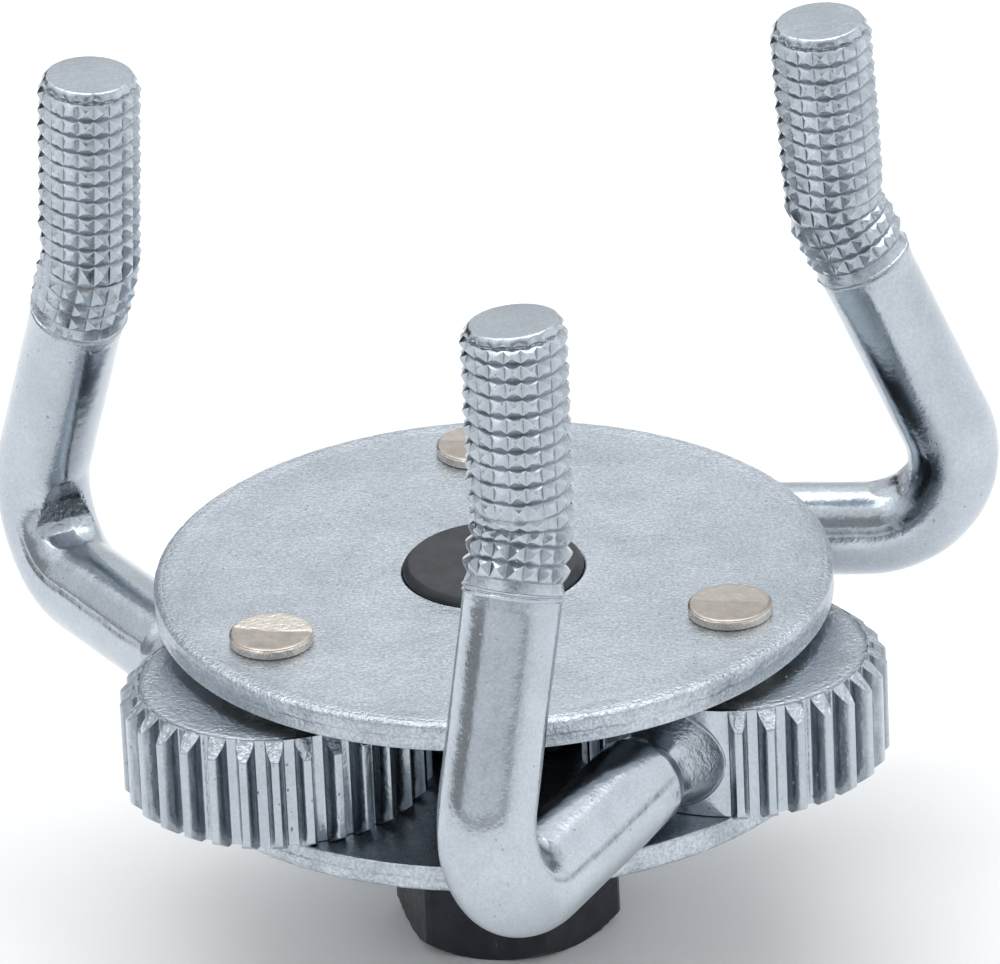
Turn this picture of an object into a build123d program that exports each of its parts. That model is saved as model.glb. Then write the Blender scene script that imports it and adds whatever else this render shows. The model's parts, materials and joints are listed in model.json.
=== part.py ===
from build123d import *
import os
from math import acos, cos, degrees, pi, radians, sin, sqrt, tan

# Three-jaw geared oil filter wrench, millimetres, +Z along the drive axis towards the claws.
# The origin is the centre of the drive spindle's end face, where a ratchet's square plugs in.
# Two round plates hold three geared claw arms on riveted pivots, and one pinion in the middle
# of the drive spindle meshes with all three, so turning the drive swings the claws together.

# ---- driving dimensions ----
HEX_FLATS = 21.0           # across the flats of the hex, for a spanner or socket
HEX_CORNER_R = 11.9        # the corners are broken to this radius
HEX_HEIGHT = 20.7
HEX_END_R = 10.5           # end chamfer, where it meets the end face
HEX_END_CHAMFER = 1.2
HEX_TURN = 13.1            # degrees at rest
SQUARE_DRIVE = 9.6         # 3/8 inch square socket
SQUARE_DEPTH = 14.0
SQUARE_LEAD_IN = 0.6
DETENT_R = 1.5             # shallow drilled hollows in the socket's walls, for the detent ball
DETENT_Z = 5.5
DETENT_CUT = 0.6

HEAD_BOTTOM = 21.2         # underside of the bottom plate
PLATE_R = 35.0
PLATE_T = 3.0
PLATE_GAP = 13.2
PLATE_EDGE_R = 0.8         # rolled outer edge of each plate
PLATE_BURR = 0.15
LOWER_JOURNAL_R = 12.0
UPPER_JOURNAL_R = 9.33
JOURNAL_FIT = 0.07         # radial running clearance
JOURNAL_PROUD = 0.9        # the spindle stands this far above the top plate
JOURNAL_CHAMFER = 0.6

MODULE = 1.0
PINION_TEETH = 24
GEAR_TEETH = 30
PRESSURE_ANGLE = 20.0
ADDENDUM = 0.85
DEDENDUM = 1.05
TOOTH_THINNING = 0.12      # taken off each tooth at the pitch circle
GEAR_T = 12.0
FACE_PLAY = 0.1            # gears and pinion ride just clear of the bottom plate
TOOTH_TOP_BEVEL = (1.9, 1.65)     # radial, axial
TOOTH_FOOT_BEVEL = (1.2, 0.9)
PINION_BEVEL = (0.8, 0.6)

RIVET_SHOULDER_R = 5.0
RIVET_TENON_R = 3.0
RIVET_HEAD_R = 4.3
RIVET_HEAD_T = 1.15
RIVET_EDGE = 0.25
PIVOT_FIT = 0.06
BORE_LEAD_IN = 0.4

ARM_REST = -92.9           # arm direction from the pivot's own radius, degrees
FIRST_TOOTH = 6.6          # a tooth centre, from the arm direction, degrees
NECK_CLEAR = 20.0          # teeth are left out within this angle of the arm direction
ROD_R = 4.93
ROD_START = (14.0, 0.0, 30.7)
ROD_BEND = (54.6, 0.0, 29.1)
ROD_KINK = (38.3, -1.6, 68.0)
ROD_TIP = (37.15, -2.3, 89.3)
BEND_R = 9.0
KINK_R = 8.0
CREASE_REACH = 10.4        # inner crease of the bend, from the corner of the rod's axis
CREASE_LOW = (5.2, 0.35)   # facet on the lower rod: its length from the crease, its depth
CREASE_HIGH = (4.2, 0.4)   # facet on the rising rod
CREASE_CLEAR = 1.3         # how far the facets' cutter runs out of the rod
CREASE_HALF_WIDTH = 8.0
NECK_ROOT = 8.0            # distances from the pivot axis, along the rod
NECK_FLARE_R = 6.1
NECK_FLARE = 12.6
NECK_CURVE = (4.75, 15.9)  # radius and distance midway down the flare
NECK_WAIST_R = 4.4
NECK_WAIST = 19.0
NECK_SHOULDER_R = 4.83
NECK_SHOULDER = 20.2
NECK_LAP = 2.0             # how far the neck runs into the rod
KNURL_R = 5.3
KNURL_PITCH = 1.78
KNURL_ROWS_ABOVE = 12
KNURL_ROWS_BELOW = 4
KNURL_DEPTH = 0.45
KNURL_GROOVE_OUT = 0.3     # how far the groove's cutter stands out of the bar
KNURL_FROM_KINK = (1.0, 0.6)      # smooth band at the kink, below and above
KNURL_LAP = 1.0            # how far the rod runs into the knurled end
TIP_CHAMFER = (0.55, 0.7)         # radial, axial

CUT_PAST = 1.0             # how far a cutter runs past the face that it opens

# ---- worked out ----
PIVOT_R = MODULE * (PINION_TEETH + GEAR_TEETH) / 2
PIVOT_ANGLES = (90, 210, 330)
GAP_BOTTOM = HEAD_BOTTOM + PLATE_T
GAP_TOP = GAP_BOTTOM + PLATE_GAP
HEAD_TOP = GAP_TOP + PLATE_T
GEAR_BOTTOM = GAP_BOTTOM + FACE_PLAY
GEAR_TOP = GEAR_BOTTOM + GEAR_T


def polar(radius, angle):
    return (radius * cos(radians(angle)), radius * sin(radians(angle)))


def turned(profile):
    """A turned solid from (radius, height) points, about the Z axis."""
    outline = Polyline([(r, 0, z) for r, z in profile], close=True)
    return revolve(make_face(outline), Axis.Z, 360)


def involute_angle(radius, base_r):
    """Angle by which an involute has turned when it reaches radius, in radians."""
    pressure = acos(min(1.0, base_r / radius))
    return tan(pressure) - pressure


def tooth_flank(teeth, centre, side):
    """Points up one flank of a tooth, root to tip; centre in degrees, side is -1 or +1."""
    pitch_r = MODULE * teeth / 2
    base_r = pitch_r * cos(radians(PRESSURE_ANGLE))
    root_r = pitch_r - DEDENDUM * MODULE
    tip_r = pitch_r + ADDENDUM * MODULE
    half = (pi * MODULE / 2 - TOOTH_THINNING) / 2 / pitch_r + involute_angle(pitch_r, base_r)
    start_r = max(root_r, base_r)
    steps = 4
    radii = [start_r + (tip_r - start_r) * k / steps for k in range(steps + 1)]
    points = []
    for r in radii:
        angle = centre + side * degrees(half - involute_angle(r, base_r))
        points.append(polar(r, angle))
    if root_r < base_r - 0.01:
        foot = centre + side * degrees(half)
        points.insert(0, polar(root_r, foot))
    return points


def flank_edges(points, has_foot):
    """A flank as one curve, with a straight radial foot below the base circle."""
    edges = []
    curve = points
    if has_foot:
        edges.append(Line(points[0], points[1]))
        curve = points[1:]
    edges.append(Spline(curve))
    return edges


def gear_face(teeth, first, clear=0):
    """A spur gear's outline. first is a tooth's centre; teeth within clear of 0 degrees are left out."""
    pitch_r = MODULE * teeth / 2
    root_r = pitch_r - DEDENDUM * MODULE
    tip_r = pitch_r + ADDENDUM * MODULE
    has_foot = root_r < pitch_r * cos(radians(PRESSURE_ANGLE)) - 0.01
    centres = [first + 360 / teeth * k for k in range(teeth)]
    centres = [c for c in centres if abs((c + 180) % 360 - 180) >= clear]
    edges = []
    for i, centre in enumerate(centres):
        up = tooth_flank(teeth, centre, -1)
        down = tooth_flank(teeth, centre, 1)
        after = centres[(i + 1) % len(centres)]
        gap = (after - centre) % 360
        following = tooth_flank(teeth, after, -1)
        edges += flank_edges(up, has_foot)
        edges.append(ThreePointArc(up[-1], polar(tip_r, centre), down[-1]))
        edges += flank_edges(down, has_foot)
        edges.append(ThreePointArc(down[0], polar(root_r, centre + gap / 2), following[0]))
    return make_face(Wire(edges))


def gear_blank(teeth, top_bevel, foot_bevel, z0, z1):
    """The turned blank that the teeth are cut in: its bevels cut the ends of the teeth."""
    tip_r = MODULE * teeth / 2 + ADDENDUM * MODULE
    foot_r, foot_z = foot_bevel
    top_r, top_z = top_bevel
    return turned([(0, z0), (tip_r - foot_r, z0), (tip_r, z0 + foot_z), (tip_r, z1 - top_z),
                   (tip_r - top_r, z1), (0, z1)])


def at_height(shape, z):
    return Pos(0, 0, z) * shape


def disc(radius, z0, z1):
    return at_height(extrude(Circle(radius), z1 - z0), z0)


def plate(z0, hole_r, rolled_up):
    """A round side plate with a rolled outer edge, the spindle's hole and three rivet holes."""
    rolled_end, plain_end = (-1, 0) if rolled_up else (0, -1)
    low, high = z0 - CUT_PAST, z0 + PLATE_T + CUT_PAST
    shape = disc(PLATE_R, z0, z0 + PLATE_T)
    shape = fillet(shape.edges().group_by(Axis.Z)[rolled_end], PLATE_EDGE_R)
    shape = chamfer(shape.edges().group_by(Axis.Z)[plain_end], PLATE_BURR)
    shape -= disc(hole_r, low, high)
    for angle in PIVOT_ANGLES:
        x, y = polar(PIVOT_R, angle)
        shape -= Pos(x, y, 0) * disc(RIVET_TENON_R, low, high)
    return shape


def rivet(angle):
    """A shouldered pivot rivet: the shoulder spaces the plates, the ends are headed over."""
    top = HEAD_TOP + RIVET_HEAD_T
    bottom = HEAD_BOTTOM - RIVET_HEAD_T
    profile = [(0, bottom), (RIVET_HEAD_R - RIVET_EDGE, bottom), (RIVET_HEAD_R, bottom + RIVET_EDGE),
               (RIVET_HEAD_R, HEAD_BOTTOM), (RIVET_TENON_R, HEAD_BOTTOM), (RIVET_TENON_R, GAP_BOTTOM),
               (RIVET_SHOULDER_R, GAP_BOTTOM), (RIVET_SHOULDER_R, GAP_TOP), (RIVET_TENON_R, GAP_TOP),
               (RIVET_TENON_R, HEAD_TOP), (RIVET_HEAD_R, HEAD_TOP), (RIVET_HEAD_R, top - RIVET_EDGE),
               (RIVET_HEAD_R - RIVET_EDGE, top), (0, top)]
    x, y = polar(PIVOT_R, angle)
    return Pos(x, y, 0) * turned(profile)


def socket_cuts():
    """The square socket, its lead-in and the hollows that a ratchet's detent ball drops into."""
    mouth = SQUARE_DRIVE + 2 * SQUARE_LEAD_IN
    square = Rectangle(SQUARE_DRIVE, SQUARE_DRIVE)
    lead_in = loft([Rectangle(mouth, mouth).face(), at_height(square, SQUARE_LEAD_IN).face()])
    cuts = [at_height(extrude(square, SQUARE_DEPTH + CUT_PAST), -CUT_PAST), lead_in]
    for tilt in (Rot(90, 0, 0), Rot(0, 90, 0)):
        cuts.append(Pos(0, 0, DETENT_Z) * tilt * Cylinder(DETENT_R, SQUARE_DRIVE + 2 * DETENT_CUT))
    return cuts


def spindle():
    """Hex, lower journal, pinion and upper journal in one forging, with a square socket."""
    body = extrude(RegularPolygon(HEX_FLATS / sqrt(3), 6), HEX_HEIGHT)
    body &= turned([(0, 0), (HEX_END_R, 0), (HEX_CORNER_R, HEX_END_CHAMFER),
                    (HEX_CORNER_R, HEX_HEIGHT), (0, HEX_HEIGHT)])
    for cut in socket_cuts():
        body -= cut
    body = Rot(0, 0, HEX_TURN) * body
    body += disc(LOWER_JOURNAL_R, HEX_HEIGHT, GEAR_BOTTOM)

    # A gear tooth off the line of centres by some angle meets a pinion gap off it the other way.
    gear_offset = (FIRST_TOOTH + ARM_REST - 180) % (360 / GEAR_TEETH)
    first_gap = PIVOT_ANGLES[0] - gear_offset * GEAR_TEETH / PINION_TEETH
    first_tooth = first_gap + 180 / PINION_TEETH
    pinion = at_height(extrude(gear_face(PINION_TEETH, first_tooth), GEAR_T), GEAR_BOTTOM)
    body += pinion & gear_blank(PINION_TEETH, PINION_BEVEL, PINION_BEVEL, GEAR_BOTTOM, GEAR_TOP)

    top = HEAD_TOP + JOURNAL_PROUD
    journal = [(0, GEAR_TOP), (UPPER_JOURNAL_R, GEAR_TOP), (UPPER_JOURNAL_R, top - JOURNAL_CHAMFER),
               (UPPER_JOURNAL_R - JOURNAL_CHAMFER, top), (0, top)]
    return body + turned(journal)


def unit(v):
    return v / v.length


def arm_axis():
    """The rod's axis in the arm's own frame, as its corner points."""
    return [Vector(*p) for p in (ROD_START, ROD_BEND, ROD_KINK, ROD_TIP)]


def rod_sweep(points, radii, r):
    """A round bar along straight runs joined by tangent arcs."""
    path = FilletPolyline(*points, radius=radii)
    start = Plane(origin=points[0], z_dir=points[1] - points[0])
    return sweep(start * Circle(r), path=path)


def ring_groove(origin, direction):
    """A V groove around the knurled end, at one point of its axis."""
    outer = KNURL_R + KNURL_GROOVE_OUT
    floor = KNURL_R - KNURL_DEPTH
    half = KNURL_DEPTH + KNURL_GROOVE_OUT
    outline = Polyline([(floor, 0, 0), (outer, 0, -half), (outer, 0, half)], close=True)
    groove = revolve(make_face(outline), Axis.Z, 360)
    return Plane(origin=origin, z_dir=direction).location * groove


def knurled_end():
    """The gripping end of the claw: a thicker bar over the kink, grooved all round."""
    _, bend, kink, tip = arm_axis()
    lower = unit(kink - bend)
    upper = unit(tip - kink)
    below_kink, above_kink = KNURL_FROM_KINK
    first = kink - lower * KNURL_ROWS_BELOW * KNURL_PITCH
    chamfer_r, chamfer_z = TIP_CHAMFER
    shoulder = tip - upper * chamfer_z
    end = rod_sweep([first, kink, shoulder], [KINK_R], KNURL_R)
    end_plane = Plane(origin=shoulder, z_dir=upper)
    end += Solid.make_cone(KNURL_R, KNURL_R - chamfer_r, chamfer_z, end_plane)
    for k in range(1, KNURL_ROWS_BELOW):
        end -= ring_groove(kink - lower * (KNURL_PITCH * k + below_kink), lower)
    for k in range(1, KNURL_ROWS_ABOVE):
        end -= ring_groove(kink + upper * (KNURL_PITCH * k + above_kink), upper)
    return end


def neck():
    """The waist and flare by which the rod grows out of the gear, turned about the rod's axis."""
    start, bend = arm_axis()[:2]
    along = unit(bend - start)
    end = NECK_SHOULDER + NECK_LAP
    root = (NECK_FLARE_R, NECK_ROOT)
    flare = (NECK_FLARE_R, NECK_FLARE)
    waist = (NECK_WAIST_R, NECK_WAIST)
    outline = Wire([
        Line((0, NECK_ROOT), root),
        Line(root, flare),
        ThreePointArc(flare, NECK_CURVE, waist),
        *Polyline([waist, (NECK_SHOULDER_R, NECK_SHOULDER), (NECK_SHOULDER_R, end), (0, end)]).edges(),
        Line((0, end), (0, NECK_ROOT)),
    ])
    shape = revolve(Rot(90, 0, 0) * make_face(outline), Axis.Z, 360)
    origin = start - along * start.X / along.X
    return Plane(origin=origin, z_dir=along).location * shape


def bend_crease():
    """The cutter that leaves two flat facets and a crease on the inside of the bend."""
    start, bend, kink = arm_axis()[:3]
    back = unit(start - bend)
    up = unit(kink - bend)
    half_angle = radians(back.get_angle(up)) / 2
    reach = CREASE_REACH * cos(half_angle)
    side = unit(back.cross(up))
    inward_back = unit(up - back * up.dot(back))
    inward_up = unit(back - up * back.dot(up))
    crease = bend + unit(back + up) * CREASE_REACH
    corners = [crease]
    for along, inward, (flat, depth) in ((back, inward_back, CREASE_LOW), (up, inward_up, CREASE_HIGH)):
        edge = bend + along * (reach + flat) + inward * (ROD_R - depth)
        outside = bend + along * (reach + flat + CREASE_CLEAR) + inward * (ROD_R + CREASE_CLEAR)
        corners += [edge, outside]
    crease, low_flat, low_out, high_flat, high_out = corners
    outline = Polyline([crease, low_flat, low_out, high_out, high_flat], close=True)
    return extrude(make_face(outline), CREASE_HALF_WIDTH, dir=side, both=True)


def claw_arm_blank():
    """One claw arm about its own pivot, pointing along +X: gear, neck, rod and knurled end."""
    start, bend, kink = arm_axis()[:3]
    gear = at_height(extrude(gear_face(GEAR_TEETH, FIRST_TOOTH, NECK_CLEAR), GEAR_T), GEAR_BOTTOM)
    gear &= gear_blank(GEAR_TEETH, TOOTH_TOP_BEVEL, TOOTH_FOOT_BEVEL, GEAR_BOTTOM, GEAR_TOP)
    lower = unit(kink - bend)
    along = unit(bend - start)
    rod_end = kink - lower * (KNURL_ROWS_BELOW * KNURL_PITCH - KNURL_LAP)
    rod_begin = start + along * (NECK_SHOULDER - start.X)
    rod = rod_sweep([rod_begin, bend, rod_end], [BEND_R], ROD_R)
    rod -= bend_crease()
    between_faces = disc(PLATE_R, GEAR_BOTTOM, GEAR_TOP)
    arm = gear + (neck() & between_faces) + rod + knurled_end()
    bore_r = RIVET_SHOULDER_R + PIVOT_FIT
    wide = bore_r + BORE_LEAD_IN + CUT_PAST
    low, high = GEAR_BOTTOM - CUT_PAST, GEAR_TOP + CUT_PAST
    arm -= turned([(0, low), (wide, low), (bore_r, GEAR_BOTTOM + BORE_LEAD_IN),
                   (bore_r, GEAR_TOP - BORE_LEAD_IN), (wide, high), (0, high)])
    return arm


def write(name, shape):
    shape.label = name
    export_step(shape, f"parts/{name}.step")
    print(name, round(shape.volume, 1), shape.is_valid)


os.makedirs("parts", exist_ok=True)

write("bottom_plate", plate(HEAD_BOTTOM, LOWER_JOURNAL_R + JOURNAL_FIT, rolled_up=False))
write("top_plate", plate(GAP_TOP, UPPER_JOURNAL_R + JOURNAL_FIT, rolled_up=True))
write("drive_spindle", spindle())
arm_blank = claw_arm_blank()
for number, pivot_angle in enumerate(PIVOT_ANGLES, start=1):
    write(f"pivot_rivet_{number}", rivet(pivot_angle))
    px, py = polar(PIVOT_R, pivot_angle)
    write(f"claw_arm_{number}", Pos(px, py, 0) * Rot(0, 0, pivot_angle + ARM_REST) * arm_blank)
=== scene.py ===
import json
from math import acos, cos, pi, radians, sin, sqrt, tan

import bmesh
import bpy
import numpy as np
from mathutils import Matrix, Vector, noise
from mathutils.geometry import delaunay_2d_cdt


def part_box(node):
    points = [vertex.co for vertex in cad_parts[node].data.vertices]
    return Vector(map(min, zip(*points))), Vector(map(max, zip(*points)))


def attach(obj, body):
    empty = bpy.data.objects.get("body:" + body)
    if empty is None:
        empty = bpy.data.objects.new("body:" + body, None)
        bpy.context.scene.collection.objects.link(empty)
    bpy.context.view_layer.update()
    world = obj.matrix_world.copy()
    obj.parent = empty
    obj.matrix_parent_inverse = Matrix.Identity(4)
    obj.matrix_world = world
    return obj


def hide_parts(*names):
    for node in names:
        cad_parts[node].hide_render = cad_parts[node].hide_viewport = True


# Looks of a three-jaw geared oil filter wrench. Shapes are worked out in millimetres, in the CAD
# frame, and turned into metres when a mesh is made.
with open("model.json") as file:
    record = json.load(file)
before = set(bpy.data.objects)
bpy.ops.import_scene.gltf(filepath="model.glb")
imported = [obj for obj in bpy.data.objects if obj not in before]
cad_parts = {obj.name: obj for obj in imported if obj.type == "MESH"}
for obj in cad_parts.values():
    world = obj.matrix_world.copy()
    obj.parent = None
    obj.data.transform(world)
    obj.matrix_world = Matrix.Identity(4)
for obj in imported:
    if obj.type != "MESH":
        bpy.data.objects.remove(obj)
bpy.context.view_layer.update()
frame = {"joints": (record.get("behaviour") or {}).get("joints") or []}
MM = 0.001

# ---- sizes read from the frame, in mm ----
PLATE_LOW, PLATE_HIGH = (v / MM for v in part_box("top_plate"))
BASE_LOW, BASE_HIGH = (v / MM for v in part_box("bottom_plate"))
RIVET_LOW, RIVET_HIGH = (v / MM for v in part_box("pivot_rivet_1"))
SPINDLE_TOP = (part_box("drive_spindle")[1] / MM).z
PIVOTS = [Vector(j["pos_m"]) / MM for j in frame["joints"] if j["name"].startswith("claw")]
PLATE_R = PLATE_HIGH.x
SHOULDER_R = (RIVET_HIGH.x - RIVET_LOW.x) / 2

# ---- the rest of the CAD model's dimensions ----
PIVOT_ANGLES = (90, 210, 330)
FACE_PLAY = 0.1
GEAR_BOTTOM = BASE_HIGH.z + FACE_PLAY
GEAR_TOP = GEAR_BOTTOM + 12.0
PINION_TEETH = 24
GEAR_TEETH = 30
ADDENDUM = 0.85
DEDENDUM = 1.05
GEAR_TIP_R = GEAR_TEETH / 2 + ADDENDUM
GEAR_ROOT_R = GEAR_TEETH / 2 - DEDENDUM
TOOTH_THINNING = 0.12
PRESSURE_ANGLE = radians(20)
TOP_BEVEL = (1.92, 1.65)  # radial, axial
FOOT_BEVEL = (1.2, 0.9)
PINION_BEVEL = (0.8, 0.6)
BORE_R = SHOULDER_R + 0.06
BORE_LEAD_IN = 0.4
RIVET_TENON_R = 3.0
RIVET_HEAD_R = 4.3
RIVET_EDGE_R = 0.28
HEX_R = 21.0 / 2  # to the flats
HEX_CORNER_R = 11.9
HEX_HEIGHT = 20.7
HEX_END_CHAMFER = (1.4, 1.2)  # radial at the corners, axial
HEX_TURN = radians(13.1)
SQUARE_HALF = 4.8
SQUARE_CORNER = 1.36  # where the socket's corners are cut, as a share of its half width
SQUARE_DEPTH = 14.0
SQUARE_LEAD_IN = 0.6
DETENT = (1.5, 0.6, 5.5)  # radius, depth, height
LOWER_JOURNAL_R = 12.0
UPPER_JOURNAL_R = 9.33
JOURNAL_FIT = 0.07
JOURNAL_CHAMFER = 0.6
ARM_REST = -92.9
FIRST_TOOTH = 6.6
NECK_CLEAR = 20.0
ROD_R = 4.93
ROD_POINTS = ((14.0, 0.0, 30.7), (54.6, 0.0, 29.1), (38.3, -1.6, 68.0), (37.15, -2.3, 89.3))
BEND_R = 9.0
KINK_R = 8.0

# ---- shapes that the CAD model only stands in for, in mm ----
CREASE_DEPTH = 1.1  # the die's mark on the inside of the bend
CREASE_HALF_WIDTH = 3.2
CREASE_REACH = 11  # nothing is marked further than this from the crease
LOWER_FACET = (8.6, 0.28)  # length along the axis, depth at its end
UPPER_FACET = (9.4, 0.12)
FACET_WIDTHS = (0.12, 0.32, 0.3)  # of each arm's upper facet at its end, as a share of the crease
NECK_PROFILE = ((5.65, 12.8), (4.8, 15.6), (4.55, 18.9))  # radius, distance from the pivot
NECK_FILLET = 0.55
NECK_SHOULDER = 20.3
KNURL_R = 5.42
KNURL_DEPTH = 0.7
KNURL_PITCH = 1.845
KNURL_TOP_ROW = 1.16  # height of the part row under the tip
KNURL_BELOW_KINK = 7.1
KNURL_COLUMNS = 18
KNURL_APEX = 0.63  # how far up its row a bead's peak is
COLUMN_VALLEY = 0.8  # depth of the valleys between columns, as a share of those between rows
ROW_POWER = 1.3  # how round a bead is along the rod; 1 is a straight slope
COLUMN_POWER = 1.0  # and round it
BEAD_STEPS = (0.0, 0.07, 0.18, 0.33, 0.5, 0.67, 0.82, 0.93)  # column places across one bead
# The raised edge below the knurl: distance along the rod, height.
COLLAR = {-1.0: 0.0, -0.6: 0.0, -0.42: 0.01, -0.34: 0.09, -0.22: 0.14, -0.1: 0.09, 0.0: 0.0, 0.08: 0.02,
          0.2: 0.17, 0.34: 0.24, 0.42: 0.12}
# The end of a claw: distance below the tip, radius, share of the nicks.
TIP_PROFILE = ((0.98, 4.86, 1.0), (0.86, 4.94, 1.0), (0.72, 5.0, 0.8), (0.5, 4.9, 0.4), (0.2, 4.66, 0.15),
               (0.06, 4.5, 0.1), (0.0, 4.38, 0.0), (0.0, 4.2, 0.0), (0.0, 3.4, 0.0), (0.0, 2.0, 0.0),
               (0.0, 0.8, 0.0))
CUT_DEPTH = 3.2  # how much of a claw's end is bent to its sloping cut
CUT_SLOPES = ((0.0, 0.0), (0.0, 0.0), (0.07, 0.0))
SEAM_DEPTH = 0.08
SEAM_WIDTH = 0.2
SEAM_TURN = radians(112)  # from the outside of the bend
DENT = 0.035
BURR = 0.13
STRUCK = (0.3, 1.0, 0.25)  # how clearly the far half of each rivet head is struck
PLATE_ROLL = (1.15, 0.6)  # rolled edge: radial, axial

# ---- how finely the meshes are divided ----
SHARP_ANGLE = radians(32)
SAME_POINT = 1e-7  # metres
PLATE_SEGMENTS = 480
RIVET_SEGMENTS = 112
RING_STEP = 0.62  # between rings on the plain rod
NECK_RINGS = (52, 0.8, 21.15)  # number, first place along the axis, last distance from the pivot
BEND_RINGS = (56, 4.0)  # number each way, how far they run past the bend
WALL_WINDOW = radians(26.5)  # the gear's wall is patched within this angle of the neck
WALL_STEP = 0.8


# ------------------------------------------------------------------ mesh making
def polar(radius, angle):
    return (radius * cos(angle), radius * sin(angle))


def make_object(name, build, points=None):
    """A mesh object from a builder's points in mm, smooth shaded except at sharp edges."""
    mesh = bpy.data.meshes.new(name)
    mesh.from_pydata([(x * MM, y * MM, z * MM) for x, y, z in points or build.points], [], build.faces)
    mesh.validate()
    mesh.update()
    for kind, marks in build.marks.items():
        layer = mesh.attributes.new(kind, "FLOAT", "POINT")
        for n, value in marks.items():
            layer.data[n].value = value
    # Rings meet in one point where a bevel has no depth, so such points become one.
    joined = bmesh.new()
    joined.from_mesh(mesh)
    bmesh.ops.remove_doubles(joined, verts=joined.verts, dist=SAME_POINT)
    joined.to_mesh(mesh)
    joined.free()
    mesh.shade_smooth()
    mesh.set_sharp_from_angle(angle=SHARP_ANGLE)
    obj = bpy.data.objects.new(name, mesh)
    bpy.context.scene.collection.objects.link(obj)
    return obj


def bumps(x, y, z, size, seed=0.0):
    """Smooth noise from -1 to 1 with features of a given size."""
    return noise.noise(Vector((x / size + seed, y / size - seed, z / size + 2 * seed)))


class Builder:
    """Collects points and faces for one mesh."""

    def __init__(self):
        self.points = []
        self.faces = []
        self.marks = {"rough": {}, "dirt_and_shade": {}}

    def mark(self, n, rough=0.0, dirt_and_shade=0.0):
        """How rough the finish is at a point, and how dark it is made by dirt and by painted shade, from 0 to
        1.
        """
        self.marks["rough"][n] = rough
        self.marks["dirt_and_shade"][n] = dirt_and_shade

    def ring(self, points):
        first = len(self.points)
        self.points.extend(points)
        return list(range(first, len(self.points)))

    def point(self, p):
        self.points.append(p)
        return len(self.points) - 1

    def bridge(self, a, b, flip=False):
        """Quads between two rings of point numbers."""
        for i in range(len(a)):
            j = (i + 1) % len(a)
            face = (a[i], a[j], b[j], b[i])
            self.faces.append(face[::-1] if flip else face)

    def fan(self, ring, centre, flip=False):
        for i in range(len(ring)):
            j = (i + 1) % len(ring)
            face = (ring[i], ring[j], centre)
            self.faces.append(face[::-1] if flip else face)


# ------------------------------------------------------------------ turned parts and plates
def turned(name, profile, centre, segments, wobble, seed, finish):
    """A closed turned solid from (r, z) points that start and end on the axis."""
    build = Builder()
    rings = []
    for r, z in profile[1:-1]:
        points = []
        for k in range(segments):
            x, y = polar(r, 2 * pi * k / segments)
            grow = 1 + wobble * bumps(x, y, z, 2.4, seed) / max(r, 1)
            points.append((centre[0] + x * grow, centre[1] + y * grow,
                           z + 0.5 * wobble * bumps(x, y, z, 1.7, seed + 5)))
        ring = build.ring(points)
        for n, (x, y, z) in zip(ring, points):
            build.mark(n, finish(x - centre[0], y - centre[1], z))
        rings.append(ring)
    bottom = build.point((centre[0], centre[1], profile[0][1]))
    top = build.point((centre[0], centre[1], profile[-1][1]))
    for a, b in zip(rings, rings[1:]):
        build.bridge(a, b)
    build.fan(rings[0], bottom, flip=True)
    build.fan(rings[-1], top)
    return make_object(name, build)


def fill_flat(build, outer, holes, z, spacing, flip, dish):
    """Fills a flat face between an outer loop and holes of point numbers, with inner points."""
    loops = [outer] + holes
    numbers = [n for loop in loops for n in loop]
    flat = [Vector(build.points[n][:2]) for n in numbers]
    edges = []
    start = 0
    for loop in loops:
        edges += [(start + i, start + (i + 1) % len(loop)) for i in range(len(loop))]
        start += len(loop)
    hole_circles = []
    for loop in holes:
        pts = np.array([build.points[n][:2] for n in loop])
        mid = pts.mean(0)
        hole_circles.append((mid, np.linalg.norm(pts - mid, axis=1).max()))
    outer_r = min(Vector(build.points[n][:2]).length for n in outer)
    radius = outer_r - spacing
    while radius > spacing:
        count = max(6, int(2 * pi * radius / spacing))
        for k in range(count):
            p = np.array(polar(radius, 2 * pi * (k + 0.5 * (int(radius / spacing) % 2)) / count))
            if all(np.linalg.norm(p - mid) > r + 0.6 * spacing for mid, r in hole_circles):
                numbers.append(build.point((p[0], p[1], z)))
                flat.append(Vector(p))
        radius -= spacing
    _, _, faces, origins, _, _ = delaunay_2d_cdt(flat, edges, [], 2, 1e-7)
    lookup = [numbers[o[0]] for o in origins]
    hole_sets = [set(loop) for loop in holes]
    for face in faces:
        made = [lookup[v] for v in face]
        # A hole is round and has no points inside, so a face across it has all its corners on its edge.
        if any(hole.issuperset(made) for hole in hole_sets):
            continue
        build.faces.append(tuple(reversed(made)) if flip else tuple(made))
    for n in numbers:
        x, y, old = build.points[n]
        build.points[n] = (x, y, old + dish(x, y))


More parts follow.
